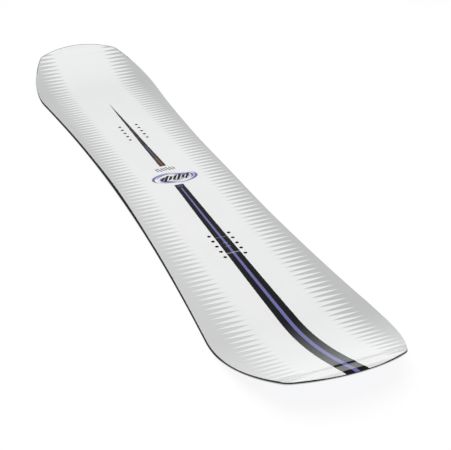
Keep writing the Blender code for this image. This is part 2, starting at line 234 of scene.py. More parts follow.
def trim(thing, along, across, limit, drop_rest=True):
    """Keep the part of a bench sheet where along * X + across * Y is at most limit."""
    scale = along * along + across * across
    edit_all(thing)
    bpy.ops.mesh.bisect(plane_co=(along * limit / scale, across * limit / scale, 0.0),
                        plane_no=(along, across, 0.0), clear_outer=drop_rest, threshold=1e-7)
    object_mode()


def score(thing, along, across, limit):
    """Cut a line through a bench sheet and keep both parts."""
    trim(thing, along, across, limit, drop_rest=False)


def drop_faces(thing, inside):
    """Take out the faces whose centre is inside."""
    centres = np.array([face.center for face in thing.data.polygons])
    chosen = inside(centres)
    select_only(thing)
    edit_mode()
    bpy.ops.mesh.select_mode(type="FACE")
    object_mode()
    thing.data.polygons.foreach_set("select", chosen)
    edit_mode()
    bpy.ops.mesh.delete(type="FACE")
    object_mode()


def thicken(thing, depth=0.001, level=None):
    """Extrude a bench sheet downwards, by a depth or down to a level."""
    edit_all(thing)
    bpy.ops.mesh.extrude_region_move(TRANSFORM_OT_translate={"value": (0.0, 0.0, -depth)})
    object_mode()
    if level is not None:
        points = places(thing)
        points[just_extruded(thing), 2] = level
        put(thing, points)
    tidy_normals(thing)


def finish_piece(thing, node, material, cut_edge=None, bare=None):
    """Shade the piece, give it its finish and put it on the board's body.

    With a cut_edge finish, only the upper face takes the first one, less its bare faces.
    """
    thing.data.materials.clear()
    thing.data.materials.append(material)
    if cut_edge:
        thing.data.materials.append(cut_edge)
        for face in thing.data.polygons:
            face.material_index = 0 if face.normal.z > 0.5 and not bare[face.index] else 1
    select_only(thing)
    bpy.ops.object.shade_smooth_by_angle(angle=SMOOTH_BELOW)
    for label in RIM_LABELS:
        stored = thing.data.attributes.get(label)
        if stored:
            thing.data.attributes.remove(stored)
    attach(thing, ROOT)
    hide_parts(node)


# ---- the board's curves

def moved_in(line, distance):
    """Rows of the outline moved inwards: distance along, distance across."""
    s, y, turn = line.T
    return s + distance * np.sin(turn), y - distance * np.cos(turn)


class Board:
    """The outline and the side view, worked out from the sizes."""

    THICKNESS_AT = ((0.0, 0.0122), (0.24, 0.0089), (0.53, 0.0072), (0.66, 0.0038), (1.0, 0.0038))
    GLUE = 0.0002
    GLASS = 0.0004
    REACH = 0.80
    TAIL_STEP = 0.3
    FINE_STEPS = 3200

    def __init__(self, shape):
        self.shape = shape
        self.fine = np.linspace(0.0, self.REACH, self.FINE_STEPS + 1)
        turn = np.array([self.slope(s) for s in self.fine])
        middle = (turn[1:] + turn[:-1]) / 2.0
        step = self.REACH / self.FINE_STEPS
        self.turn = turn
        self.x = np.concatenate(([0.0], np.cumsum(np.cos(middle) * step)))
        self.z = np.concatenate(([0.0], np.cumsum(np.sin(middle) * step))) + shape.camber
        self.core_low = shape.base_thickness + self.GLUE + self.GLASS + self.GLUE
        self.glass_drop = shape.topsheet_thickness + self.GLUE
        self.core_drop = self.glass_drop + self.GLASS + self.GLUE

    def slope(self, s):
        shape = self.shape
        if s < shape.contact:
            part = s / shape.contact
            return -4.0 * shape.camber / shape.contact * part * (1.0 - part * part)
        if s < shape.contact + shape.kick_length:
            return (s - shape.contact) / shape.kick_radius
        past = s - shape.contact - shape.kick_length
        return shape.kick_length / shape.kick_radius + past / shape.tip_radius

    def thickness(self, s):
        s = np.abs(s)
        made = np.full(np.shape(s), self.THICKNESS_AT[-1][1])
        for (near, thick), (far, thin) in zip(self.THICKNESS_AT, self.THICKNESS_AT[1:]):
            ease = (1.0 - np.cos(pi * (s - near) / (far - near))) / 2.0
            made = np.where((s >= near) & (s <= far), thick + (thin - thick) * ease, made)
        return made

    def relief(self, s):
        """Step and ground end of each tip, added to the top surface."""
        shape = self.shape
        share = np.where(np.asarray(s) < 0.0, self.TAIL_STEP, 1.0)
        s = np.abs(s)
        climb = np.clip((s - 0.640) / (shape.step_place - 0.640), 0.0, 1.0)
        fall = np.clip((s - shape.step_place) / 0.0045, 0.0, 1.0)
        step = shape.step_height * climb * climb * (1.0 - fall * fall * (3.0 - 2.0 * fall))
        ground = shape.ground_drop * np.maximum(s - shape.ground_start, 0.0) / 0.0125
        return share * (step - ground)

    def quarter(self, steps):
        """Rows of distance along, distance across and heading, from the waist to the tip."""
        shape = self.shape
        end = asin(shape.sidecut_end / shape.sidecut_radius)
        corner = -shape.shoulder_turn
        front = corner - shape.corner_turn
        waist = shape.waist_width / 2.0
        full = waist + shape.sidecut_radius * (1.0 - cos(end))
        full += shape.shoulder_radius * (cos(corner) - cos(end))
        full += shape.corner_radius * (cos(front) - cos(corner))
        turns = [end * step / steps["sidecut"] for step in range(steps["sidecut"] + 1)]
        rows = [(shape.sidecut_radius * sin(turn), waist + shape.sidecut_radius * (1.0 - cos(turn)), turn)
                for turn in turns]
        arcs = (
            (end, corner, shape.shoulder_radius, steps["shoulder"]),
            (corner, front, shape.corner_radius, steps["corner"] * 2),
            (front, -pi / 2.0, full / cos(front), steps["front"]),
        )
        for start, stop, radius, count in arcs:
            s, y, _ = rows[-1]
            for step in range(1, count + 1):
                turn = start + (stop - start) * step / count
                rows.append((s + radius * (sin(start) - sin(turn)),
                             y + radius * (cos(turn) - cos(start)), turn))
        rows[-1] = (rows[-1][0], 0.0, rows[-1][2])
        return np.array(rows)

    def press(self, thing):
        """Bend a bench piece to the board's side view."""
        points = places(thing)
        s, depth = points[:, 0].copy(), points[:, 2].copy()
        side = np.where(s < 0.0, -1.0, 1.0)
        turn = np.interp(np.abs(s), self.fine, self.turn)
        points[:, 0] = side * (np.interp(np.abs(s), self.fine, self.x) - np.sin(turn) * depth)
        points[:, 2] = np.interp(np.abs(s), self.fine, self.z) + np.cos(turn) * depth
        put(thing, points)

    def along(self, x):
        """Bench distance of a place on the finished board."""
        return float(np.sign(x) * np.interp(abs(x), self.x, self.fine))

    def insert_places(self):
        """Name and bench place of every insert."""
        found = []
        for name in sorted(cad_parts):
            if name.startswith("insert_"):
                low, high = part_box(name)
                middle = (low + high) / 2.0
                found.append((name, self.along(middle.x), middle.y))
        return found

    def sheet(self, name, inset, steps, rim_rows=(0.0,)):
        """A flat bench sheet with the board's outline."""
        line = self.quarter(steps)
        corner = steps["sidecut"] + steps["shoulder"] + steps["corner"]
        side, front = line[:corner + 1], line[corner:][::-1]
        rows, columns = len(side) - 1, len(front) - 1
        sheet = new_grid(name, 2 * rows, 2 * columns)
        grid = places(sheet)
        row = np.rint(np.abs(grid[:, 0]) * rows).astype(int)
        column = np.rint(np.abs(grid[:, 1]) * columns).astype(int)
        signs = np.where(grid < 0.0, -1.0, 1.0)
        flat = np.zeros(len(grid))
        side_s, side_y = moved_in(side, inset + rim_rows[0])
        front_s, front_y = moved_in(front, inset + rim_rows[0])
        bend = (side_s / side_s[-1]) ** 5
        s = side_s[row] + bend[row] * (front_s[column] - front_s[-1])
        y = side_y[row] * front_y[column] / front_y[-1]
        put(sheet, np.column_stack((s, y, flat)) * signs)
        if len(rim_rows) > 1:
            on_front = row == rows
            s, y, turn = np.where(on_front[:, None], front[column], side[row]).T
            for label, values in zip(RIM_LABELS, ((s, y, flat), (np.sin(turn), -np.cos(turn), flat))):
                stored = sheet.data.attributes.new(label, "FLOAT_VECTOR", "POINT")
                stored.data.foreach_set("vector", (np.column_stack(values) * signs).ravel())
            self.grow_rim(sheet, [inset + distance for distance in rim_rows[1:]])
        return sheet

    def grow_rim(self, sheet, insets):
        """Extrude the sheet's border outwards, one row for each inset."""
        select_only(sheet)
        edit_mode()
        bpy.ops.mesh.select_mode(type="EDGE")
        bpy.ops.mesh.select_all(action="DESELECT")
        bpy.ops.mesh.select_non_manifold(extend=False)
        for inset in insets:
            bpy.ops.mesh.extrude_edges_move()
            object_mode()
            chosen = just_extruded(sheet)
            place, way = rim_vectors(sheet)
            points = places(sheet)
            points[chosen] = place[chosen] + inset * way[chosen]
            put(sheet, points)
            edit_mode()
        object_mode()

    def raise_to_top(self, sheet, drop):
        """Lift a bench sheet to the top surface less a drop."""
        points = places(sheet)
        points[:, 2] = self.thickness(points[:, 0]) + self.relief(points[:, 0]) - drop
        put(sheet, points)

    def strip(self, name, section, side, steps, shortest=0.0):
        """A closed section of (inset, height) pairs run along one side of the outline."""
        quarter = self.quarter(steps)
        back = quarter[1:][::-1] * (-1.0, 1.0, -1.0)
        line = np.vstack((back, quarter))
        grid = new_grid(name, len(line) - 1, len(section))
        spots = places(grid)
        row = np.rint((spots[:, 0] + 1.0) / 2.0 * (len(line) - 1)).astype(int)
        column = np.rint((spots[:, 1] + 1.0) / 2.0 * len(section)).astype(int) % len(section)
        inset = np.array([pair[0] for pair in section])[column]
        s, y = moved_in(line[row], inset)
        y = np.maximum(y, shortest)
        height = np.zeros(len(s))
        for number, (_, level) in enumerate(section):
            chosen = column == number
            height[chosen] = level(s[chosen]) if callable(level) else level
        put(grid, np.column_stack((s, side * y, height)))
        tidy_normals(grid)
        return grid


def rim_vectors(sheet):
    """For each point of a sheet, its place on the outline and the way inwards from there."""
    return [vectors(sheet.data.attributes[label].data, "vector") for label in RIM_LABELS]


def rim_distance(sheet, points):
    """Distance in from the outline, exact on the rim rows and large elsewhere."""
    place, way = (values[:, :2] for values in rim_vectors(sheet))
    offset = points[:, :2] - place
    inward = (offset * way).sum(axis=1)
    sideways = np.hypot(*(offset - inward[:, None] * way).T)
    return np.where(sideways < 1e-6, inward, 1.0)


def board():
    return Board(bpy.context.scene.snowboard_shape)


def finish_colours():
    return bpy.context.scene.snowboard_finish


# ---- materials

class Value:
    """A number that changes over a surface. Arithmetic on it adds Math nodes."""

    def __init__(self, tree, socket):
        self.tree = tree
        self.socket = socket

    def math(self, operation, *others):
        return self.tree.add("Math", (self, *others), operation=operation)

    def __add__(self, other):
        return self.math("ADD", other)

    __radd__ = __add__

    def __mul__(self, other):
        return self.math("MULTIPLY", other)

    def __sub__(self, other):
        return self.math("SUBTRACT", other)

    def __rsub__(self, other):
        return self.tree.add("Math", (other, self), operation="SUBTRACT")

    def __truediv__(self, other):
        return self.math("DIVIDE", other)

    def __abs__(self):
        return self.math("ABSOLUTE")

    def __or__(self, other):
        """The larger of the two."""
        return self.math("MAXIMUM", other)

    def rise(self, low, high):
        """0 below low, 1 above high, eased in between."""
        return self.tree.add("MapRange", {"Value": self, "From Min": low, "From Max": high},
                             interpolation_type="SMOOTHSTEP")

    def above(self, limit, soft=PRINT_EDGE):
        return (self - limit).rise(-soft, soft)

    def below(self, limit, soft=PRINT_EDGE):
        return (limit - self).rise(-soft, soft)

    def between(self, low, high, soft=PRINT_EDGE):
        return self.above(low, soft) * self.below(high, soft)

    def wave(self, pitch):
        """0 at every multiple of the pitch, 1 half-way between."""
        return (self / pitch).math("PINGPONG", 0.5) * 2.0


class Tree:
    """Builds the nodes of one material, or of the world."""

    def __init__(self, name, world=None):
        self.owner = world or bpy.data.materials.new(name)
        self.owner.use_nodes = True
        self.nodes = self.owner.node_tree.nodes
        self.links = self.owner.node_tree.links

    def fill(self, target, value):
        if isinstance(value, Value):
            self.links.new(value.socket, target)
        elif target.type == "RGBA":
            target.default_value = (*value, 1.0)
        else:
            target.default_value = value

    def add(self, kind, inputs=(), output=0, **settings):
        """Add a node, fill its inputs by name or in order, and give one of its outputs."""
        node = self.nodes.new("ShaderNode" + kind)
        for key, setting in settings.items():
            setattr(node, key, setting)
        pairs = inputs.items() if isinstance(inputs, dict) else enumerate(inputs)
        for key, value in pairs:
            self.fill(node.inputs[key], value)
        return Value(self, node.outputs[output])

    def place(self):
        return self.add("TexCoord", output=3)

    def split(self, vector):
        node = self.add("SeparateXYZ", (vector,)).socket.node
        return [Value(self, socket) for socket in node.outputs]

    def stretched(self, vector, scale):
        return self.add("VectorMath", (vector, scale), operation="MULTIPLY")

    def turned(self, vector, degrees):
        return self.add("Mapping", {"Vector": vector, "Rotation": (0.0, 0.0, radians(degrees))},
                        vector_type="TEXTURE")

    def noise(self, vector, scale, detail=2.0, roughness=0.5):
        return self.add("TexNoise", {"Vector": vector, "Scale": scale, "Detail": detail,
                                     "Roughness": roughness})

    def streaks(self, vector, scale, detail=2.0, roughness=0.5):
        """Noise with its own scale along each axis."""
        return self.noise(self.stretched(vector, scale), 1.0, detail, roughness)

    def mix(self, factor, first, second):
        return self.add("Mix", {0: factor, 6: first, 7: second}, output=2, data_type="RGBA")

    def finish(self, tone, roughness, height, **others):
        """Fill the shader's inputs; the bumps' height is in metres."""
        bump = self.add("Bump", {"Strength": 1.0, "Distance": 1.0, "Height": height})
        shader = self.nodes["Principled BSDF"]
        for key, value in {"Base_Color": tone, "Roughness": roughness, "Normal": bump, **others}.items():
            self.fill(shader.inputs[key.replace("_", " ")], value)
        return self.owner


def scaled(tone, share, lift=0.0):
    """A colour made darker or lighter, within 1."""
    return tuple(min(1.0, part * share + lift) for part in tone)


def scratches(tree, place, direction, pitch):
    """Thin long marks, mostly absent."""
    thin = tree.streaks(tree.turned(place, direction), (6.0, 1.0 / pitch, 1.0 / pitch), 1.0)
    patch = tree.noise(place, 9.0, 1.0)
    return thin.rise(0.70, 0.74) * patch.rise(0.52, 0.62)


def print_badge(tree, x, y, tone, colours):
    """A plain oval badge: broken rings round a row of slanted bars."""
    along, across = x - BADGE_MIDDLE[0], y - BADGE_MIDDLE[1]
    across_scaled = across / BADGE_HALF[1]
    along_scaled = along / BADGE_HALF[0]
    ring = (along_scaled * along_scaled + across_scaled * across_scaled).math("SQRT")
    angle = along_scaled.math("ARCTAN2", across_scaled)
    rings = None
    for radius, width, turns, phase in ((0.93, 0.070, 2.0, 0.4), (0.77, 0.055, 3.0, 1.7),
                                        (0.61, 0.075, 2.0, 2.9), (0.45, 0.045, 3.0, 4.4)):
        wobble = (angle * turns + phase).math("SINE")
        thick = (wobble * 0.60 + 0.52) * width
        line = (thick - abs(ring - radius)).rise(-0.010, 0.010)
        rings = line if rings is None else rings | line
    haze = (angle * 3.0 + ring * 9.0).math("SINE").rise(-0.2, 0.9) * ring.wave(0.085).below(0.55, 0.15)
    rings = rings | haze * ring.below(0.86, 0.03) * 0.5
    tone = tree.mix(rings, tone, colours.purple)
    slant = across + along * 0.55
    bars = slant.wave(0.0092).below(0.70, 0.05) * abs(slant).below(0.0295)
    uneven = (slant * 260.0).math("SINE") * 0.0030 + 0.0098
    bars = bars * (uneven - abs(along)).rise(-0.0002, 0.0002)
    return tree.mix(bars, tone, colours.black)


def topsheet_material():
    colours = finish_colours()
    tree = Tree("topsheet_print")
    place = tree.place()
    x, y, _ = tree.split(place)
    across = abs(y)
    tooth = (x - TOOTH_PHASE).wave(TOOTH_PITCH)
    open_share = (across - TOOTH_TIP) / TOOTH_LENGTH
    spikes = (open_share - tooth).rise(-0.09, 0.09) * open_share.rise(-0.10, 0.30)
    shade = tree.mix(x.rise(-0.16, 0.06), colours.shade_rear, colours.shade_right)
    shade = tree.mix(y.rise(-0.02, 0.02), shade, colours.shade_left)
    cloud = tree.noise(tree.stretched(place, (1.0, 1.6, 1.0)), 7.0, 3.0)
    white = tree.mix(cloud.rise(0.35, 0.65), scaled(colours.white, 0.985), colours.white)
    # Painted shade: the white field turns greyer towards the nose, where the upturned tip faces away from the
    # overhead light.
    white = tree.mix(x.rise(0.56, 0.71), white, scaled(colours.white, 0.945))
    tone = tree.mix(spikes, white, shade)
    # Row of short ticks and the badge in the middle.
    ticks = (y - x * 0.35).wave(0.0064).below(0.42, 0.08) * y.between(*TICK_ENDS)
    ticks = ticks * abs(x + TICK_ROW + (y * 700.0).math("SINE") * 0.0018).below(0.0078)
    tone = tree.mix(ticks, tone, colours.black)
    tone = print_badge(tree, x, y, tone, colours)
    # Rear stripe, with a thin line and a row of bars near its end.
    rear_half = ((x - REAR_STRIPE[0]) * 0.0255).math("MINIMUM", (x + 0.35) * 0.0158 + 0.0030)
    rear = (rear_half - across).above(0.0) * x.between(*REAR_STRIPE)
    # Front stripe, with a centre line that widens with it.
    front_half = (x - FRONT_START) * FRONT_FLARE + FRONT_HALF
    front = (front_half - across).above(0.0) * x.above(FRONT_START)
    tone = tree.mix(rear | front, tone, colours.black)
    thin = across.below(0.0015) * x.between(*REAR_LINE)
    tone = tree.mix(thin * 0.35, tone, colours.purple)
    bars = (x - REAR_BARS[0]).wave(0.0056).below(0.86, 0.06) * x.between(*REAR_BARS) * across.below(0.0025)
    tone = tree.mix(bars * 0.70, tone, colours.orange)
    line_half = (x - LINE_START) * LINE_FLARE + LINE_HALF
    line = (line_half - across).above(0.0) * x.above(LINE_START)
    label = x.between(0.0250, 0.0325) * across.below(0.0056)
    label = label * (1.0 - x.between(0.0275, 0.0300) * across.below(0.0030))
    tone = tree.mix(line | label * 0.5, tone, colours.purple)
    # Stance marks.
    wide = x.between(0.2502, 0.2514) | x.between(0.3083, 0.3117)
    small = abs(x - 0.2725).below(0.0005) | abs(x - 0.286).below(0.0005)
    rear_marks = abs(x + 0.309).below(0.0004) | abs(x + 0.281).below(0.0004)
    marks = wide * front * 0.28 | small * across.below(0.0055) * 0.38 | rear_marks * rear * 0.4
    tone = tree.mix(marks, tone, colours.white)
    hairlines = scratches(tree, place, 78.0, 0.0011) | scratches(tree, place, -14.0, 0.0009)
    smudge = tree.noise(tree.stretched(place, (1.0, 1.8, 1.0)), 5.0, 4.0)
    roughness = 0.075 + smudge.rise(0.45, 0.75) * 0.05 + hairlines * 0.10
    peel = tree.noise(place, 620.0, 1.0) * 0.0000035 + tree.noise(place, 60.0, 1.0) * 0.000012
    # The pressed step and the ground end of each tip, on top of their shape.
    reach = abs(x)
    share = x.rise(-0.1, 0.1) * 0.85 + 0.15
    crease = ((reach - CREASE) | 0.0).math("MINIMUM", CREASE_WIDTH)
    slip = crease * share * -0.36 + ((reach - GROUND_BAND) | 0.0) * share * -0.34
    height = peel - hairlines * 0.000002 + slip
    return tree.finish(tone, roughness, height, IOR=1.6)


def base_material(name, base):
    """Sintered polyethylene with a stone-ground structure."""
    tree = Tree(name)
    place = tree.place()
    _, y, _ = tree.split(place)
    grind = tree.streaks(place, (5.0, 1300.0, 0.0))
    cross = tree.streaks(tree.turned(place, 9.0), (14.0, 900.0, 0.0), 1.0)
    grain = tree.noise(place, 2600.0, 2.0)
    wax = tree.noise(tree.stretched(place, (1.0, 2.4, 1.0)), 6.0, 4.0)
    marks = scratches(tree, place, 4.0, 0.0008)
    dark = scaled(base, 0.86)
    pale = scaled(base, 1.07, 0.006)
    tone = tree.mix(grain.rise(0.35, 0.65), dark, base)
    tone = tree.mix(wax.rise(0.45, 0.75) * 0.6, tone, pale)
    tone = tree.mix(marks * 0.45, tone, scaled(base, 1.0, 0.14))
    lines = y.wave(0.0011)
    height = grind * 0.000012 + cross * 0.000006 + lines.rise(0.55, 0.95) * 0.000006 - marks * 0.000010
    roughness = 0.24 + wax.rise(0.4, 0.8) * 0.10 + grind * 0.10
    return tree.finish(tone, roughness, height, IOR=1.5)


def steel_material(name, base, along, roughness):
    """Ground steel: fine lines in one direction, a few darker specks."""
    tree = Tree(name)
    place = tree.place()
    lines = tree.noise(tree.stretched(place, along), 1.0, 3.0, 0.6)
    patch = tree.noise(place, 22.0, 3.0)
    specks = tree.noise(place, 900.0, 2.0).rise(0.68, 0.76)
    tone = tree.mix(lines, scaled(base, 0.86), base)
    tone = tree.mix(specks * patch.rise(0.5, 0.7) * 0.5, tone, (0.16, 0.11, 0.08))
    rough = roughness + lines * 0.12 + patch.rise(0.5, 0.8) * 0.10
    height = lines * 0.000003 - specks * 0.000004
    return tree.finish(tone, rough, height, Metallic=1.0)


def moulded_material(name, base, roughness):
    """Milled dark plastic with cutter lines and a few pale scuffs."""
    tree = Tree(name)
    place = tree.place()
    _, _, z = tree.split(place)
    milled = tree.streaks(place, (8.0, 8.0, 2600.0))
    grain = tree.noise(place, 1500.0, 2.0)
    scuff = tree.streaks(place, (14.0, 60.0, 400.0), 3.0).rise(0.62, 0.74)
    tone = tree.mix(grain.rise(0.3, 0.7), scaled(base, 0.8), base)
    tone = tree.mix(scuff * 0.3, tone, scaled(base, 1.0, 0.03))
    height = milled * 0.000008 + grain * 0.000003
    rough = roughness + scuff * 0.15 + grain * 0.06
    return tree.finish(tone, rough, height, Specular_IOR_Level=0.05)


def glass_material():
    """Three-way fibreglass in clear resin."""
    tree = Tree("fibreglass_weave")
    place = tree.place()
    x, y, _ = tree.split(place)
    straight = y.wave(0.0022).rise(0.10, 0.55)
    left = (x + y).wave(0.0040).rise(0.10, 0.55)
    right = (x - y).wave(0.0040).rise(0.10, 0.55)
    tows = straight * 0.45 + left * 0.3 + right * 0.3
    threads = tree.streaks(place, (40.0, 2400.0, 40.0))
    tone = tree.mix(tows, (0.30, 0.34, 0.26), (0.62, 0.66, 0.55))
    tone = tree.mix(threads * 0.35, tone, (0.74, 0.77, 0.70))
    height = tows * 0.00006 + threads * 0.00001
    return tree.finish(tone, 0.30 + threads * 0.15, height, IOR=1.52)


def wood_material(name, light, dark, shift):
    """Planed wood with its grain along the board."""
    tree = Tree(name)
    offset = (shift, shift * 0.37, 0.0)
    place = tree.add("Mapping", {"Vector": tree.place(), "Location": offset})
    drift = tree.streaks(place, (1.6, 14.0, 14.0), 3.0)
    _, y, z = tree.split(place)
    rings = (y * 0.9 + z * 1.4 + drift * 0.012).wave(0.0024)
    fibres = tree.streaks(place, (9.0, 1400.0, 1400.0), 3.0)
    pores = tree.streaks(place, (70.0, 2600.0, 2600.0), 1.0).rise(0.66, 0.72)
    tone = tree.mix(rings.rise(0.25, 0.95), light, dark)
    tone = tree.mix(fibres * 0.35, tone, scaled(dark, 0.75))
    tone = tree.mix(pores * 0.6, tone, scaled(dark, 0.45))
    height = fibres * 0.00002 - pores * 0.00003
    return tree.finish(tone, 0.52 + fibres * 0.16, height)


def rubber_material():
    tree = Tree("rubber_foil")
    place = tree.place()
    grain = tree.noise(place, 1900.0, 3.0)
    bloom = tree.noise(place, 30.0, 3.0).rise(0.5, 0.8)
    tone = tree.mix(bloom * 0.5, (0.018, 0.018, 0.019), (0.045, 0.045, 0.047))
    return tree.finish(tone, 0.72 + grain * 0.15, grain * 0.00002)


# ---- operators

class MakeTopsheet(bpy.types.Operator):
    """Printed topsheet with ground tip rims, a step at each tip and countersunk mouths."""

    bl_idname = "snowboard.topsheet"
    bl_label = "Topsheet"

    def execute(self, context):
        made = board()
        shape = made.shape
        sheet = made.sheet("topsheet_printed", 0.0, FINE, RIM_ROWS)
        for along in (1.0, -1.0):
            for past in (-0.0005, 0.001, 0.0025, 0.004, 0.005):
                score(sheet, along, 0.0, shape.step_place + past)
            score(sheet, along, 0.0, shape.ground_start)
        made.raise_to_top(sheet, 0.0)
        points = places(sheet)
        inward = rim_distance(sheet, points)
        round_off = np.clip(1.0 - inward / 0.00025, 0.0, 1.0)
        points[:, 2] -= 0.00025 * (1.0 - np.sqrt(1.0 - round_off ** 2))
        put(sheet, points)
        thicken(sheet, depth=shape.topsheet_thickness)
        # Level the lower face, so that only the upper edge is rounded.
        points = places(sheet)
        floor = made.thickness(points[:, 0]) + made.relief(points[:, 0]) - shape.topsheet_thickness
        lower = points[:, 2] < floor + 1e-6
        points[lower, 2] = floor[lower]
        put(sheet, points)
        cut_mouths(made, sheet, shape.mouth_radius, 0.0002)
        points = places(sheet)
        on_rim = (rim_distance(sheet, points) < 0.00145) & (points[:, 0] < -0.69)
        bare = [all(on_rim[corner] for corner in face.vertices) for face in sheet.data.polygons]
        made.press(sheet)
        carrier = moulded_material("topsheet_carrier", finish_colours().sidewall, 0.62)
        finish_piece(sheet, "topsheet", topsheet_material(), carrier, bare)
        return {"FINISHED"}


def cut_mouths(made, sheet, radius, chamfer):
    """Bore a round mouth over every insert, with a small chamfer on top."""
    cutters = []
    for _, s, y in made.insert_places():
        top = float(made.thickness(np.array([s]))[0])
        deselect()
        bpy.ops.mesh.primitive_circle_add(vertices=36, radius=radius, fill_type="NGON",
                                          location=(s, y, top - 0.003))
        cutter = bpy.context.object
        edit_all(cutter)
        rise = 0.003 - chamfer
        bpy.ops.mesh.extrude_region_move(TRANSFORM_OT_translate={"value": (0.0, 0.0, rise)})
        bpy.ops.mesh.extrude_region_move(TRANSFORM_OT_translate={"value": (0.0, 0.0, chamfer + 0.0002)})
        wider = (radius + chamfer + 0.0002) / radius
        bpy.ops.transform.resize(value=(wider, wider, 1.0), center_override=(s, y, top))
        bpy.ops.mesh.select_all(action="SELECT")
        bpy.ops.mesh.normals_make_consistent()
        object_mode()
        cutters.append(cutter)
    select_only(cutters[0])
    for cutter in cutters[1:]:
        cutter.select_set(True)
    bpy.ops.object.join()
    cutter = cutters[0]
    bpy.ops.object.transform_apply()
    cut = sheet.modifiers.new("mouths", "BOOLEAN")
    cut.operation = "DIFFERENCE"
    cut.solver = "EXACT"
    cut.object = cutter
    select_only(sheet)
    bpy.ops.object.modifier_apply(modifier=cut.name)
    discard(cutter)


class MakeBase(bpy.types.Operator):
    """Die-cut base sheets: centre field, side stripes, rails and wedge streaks."""

    bl_idname = "snowboard.base"
    bl_label = "Base"

    STRIPE_INNER = 0.0650
    STRIPE_OUTER = 0.0836
    FLARE = 0.0215
    GAP = 0.00012
    STREAKS = (
        ("outer", 0.010, 0.0435, 0.0290, 0.0030),
        ("inner", 0.174, 0.0130, 0.0200, 0.0130),
    )

    def execute(self, context):
        made = board()
        colours = finish_colours()
        black = base_material("base_black_ground", colours.base_black)
        lavender = base_material("base_lavender_ground", colours.base_lavender)
        blank = made.sheet("base_blank", 0.0020, PLAIN)
        half = self.GAP / 2.0
        centre = copy_of(blank, "base_centre_sheet")
        trim(centre, 0.0, 1.0, self.STRIPE_INNER - half)
        trim(centre, 0.0, -1.0, self.STRIPE_INNER - half)
        for kind, start, spot, inward, outward in self.STREAKS:
            for name, side in SIDES:
                streak = copy_of(centre, f"base_wedge_{kind}_{name}")
                trim(streak, -outward, side, spot - outward * start - half)
                trim(streak, -inward, -side, -spot - inward * start - half)
                self.complete(made, streak, f"base_streak_{kind}_{name}", "base_lavender", lavender)
        for kind, start, spot, inward, outward in self.STREAKS:
            for name, side in SIDES:
                score(centre, -outward, side, spot - outward * start + half)
                score(centre, -inward, -side, -spot - inward * start + half)
                drop_faces(centre, lambda at: (side * at[:, 1] < spot + outward * (at[:, 0] - start) + half)
                           & (side * at[:, 1] > spot - inward * (at[:, 0] - start) - half))
        self.complete(made, centre, "base_centre", "base_black", black)
        for name, side in SIDES:
            stripe = copy_of(blank, f"base_band_{name}")
            trim(stripe, 0.0, -side, -self.STRIPE_INNER - half)
            rail = copy_of(stripe, f"base_side_field_{name}")
            trim(stripe, -self.FLARE, side, self.STRIPE_OUTER - half)
            trim(rail, self.FLARE, -side, -self.STRIPE_OUTER - half)
            self.complete(made, stripe, f"base_stripe_{name}", "base_lavender", lavender)
            self.complete(made, rail, f"base_rail_{name}", "base_black", black)
        discard(blank)
        return {"FINISHED"}

    def complete(self, made, sheet, node, slot, material):
        points = places(sheet)
        points[:, 2] = made.shape.base_thickness
        put(sheet, points)
        thicken(sheet, level=0.0)
        made.press(sheet)
        finish_piece(sheet, node, material)


class MakeEdges(bpy.types.Operator):
    """Two steel running edges with eased corners and a bonded flange."""

    bl_idname = "snowboard.edges"
    bl_label = "Steel edges"

    def execute(self, context):
        made = board()
        steel = steel_material("edge_steel_ground", finish_colours().steel, (3.0, 3.0, 2600.0), 0.20)
        low = made.shape.base_thickness + made.GLUE
        high = low + made.GLASS
        section = (
            (-0.00030, 0.0), (-0.00044, 0.00006), (-0.00050, 0.00020),
            (-0.00050, high - 0.00020), (-0.00044, high - 0.00006), (-0.00030, high),
            (0.00750, high), (0.00750, low), (0.00180, low), (0.00170, low - 0.0001),
            (0.00170, 0.00008), (0.00162, 0.0),
        )
        for name, side in SIDES:
            edge = made.strip(f"running_edge_{name}", section, side, FINE, 0.00015)
            close_ends(edge)
            made.press(edge)
            finish_piece(edge, "edge_" + name, steel)
        return {"FINISHED"}


class MakeSidewalls(bpy.types.Operator):
    """Milled side strips that lean outwards to the steel, and the plastic tip fillers."""

    bl_idname = "snowboard.sidewalls"
    bl_label = "Sidewalls and tip fillers"

    CORE_END = 0.600

    def execute(self, context):
        made = board()
        plastic = moulded_material("sidewall_milled", finish_colours().sidewall, 0.58)
        low = made.core_low + 0.0003 + made.GLUE

        def top(less):
            return lambda s: made.thickness(s) - made.core_drop - less

        def lip(less):
            return lambda s: made.thickness(s) - made.glass_drop - less

        skirt = made.core_low - 0.00005
        section = ((-0.00012, skirt), (-0.00022, skirt + 0.00012), (0.00004, lip(0.00022)),
                   (0.00010, lip(0.0001)), (0.0008, lip(0.0001)), (0.0008, top(0.0)),
                   (0.0080, top(0.0)), (0.0080, low), (0.0004, low), (0.0004, skirt))
        for name, side in SIDES:
            wall = made.strip(f"side_strip_{name}", section, side, FINE)
            for along in (1.0, -1.0):
                trim(wall, along, 0.0, self.CORE_END)
            close_ends(wall)
            made.press(wall)
            finish_piece(wall, "sidewall_" + name, plastic)
        moulded = moulded_material("tip_filler_moulded", finish_colours().filler, 0.58)
        blank = made.sheet("tip_filler_blank", 0.00025, PLAIN, (0.0006, 0.0004, 0.0))
        for name, side in (("nose", 1.0), ("tail", -1.0)):
            filler = copy_of(blank, f"tip_filler_{name}")
            trim(filler, -side, 0.0, -self.CORE_END - 0.0003)
            trim(filler, side, 0.0, 0.7745)
            made.raise_to_top(filler, made.core_drop)
            points = places(filler)
            points[rim_distance(filler, points) < 0.0008, 2] += made.core_drop - made.glass_drop - 0.0001
            put(filler, points)
            thicken(filler, level=made.core_low)
            made.press(filler)
            finish_piece(filler, name + "_spacer", moulded)
        discard(blank)
        return {"FINISHED"}


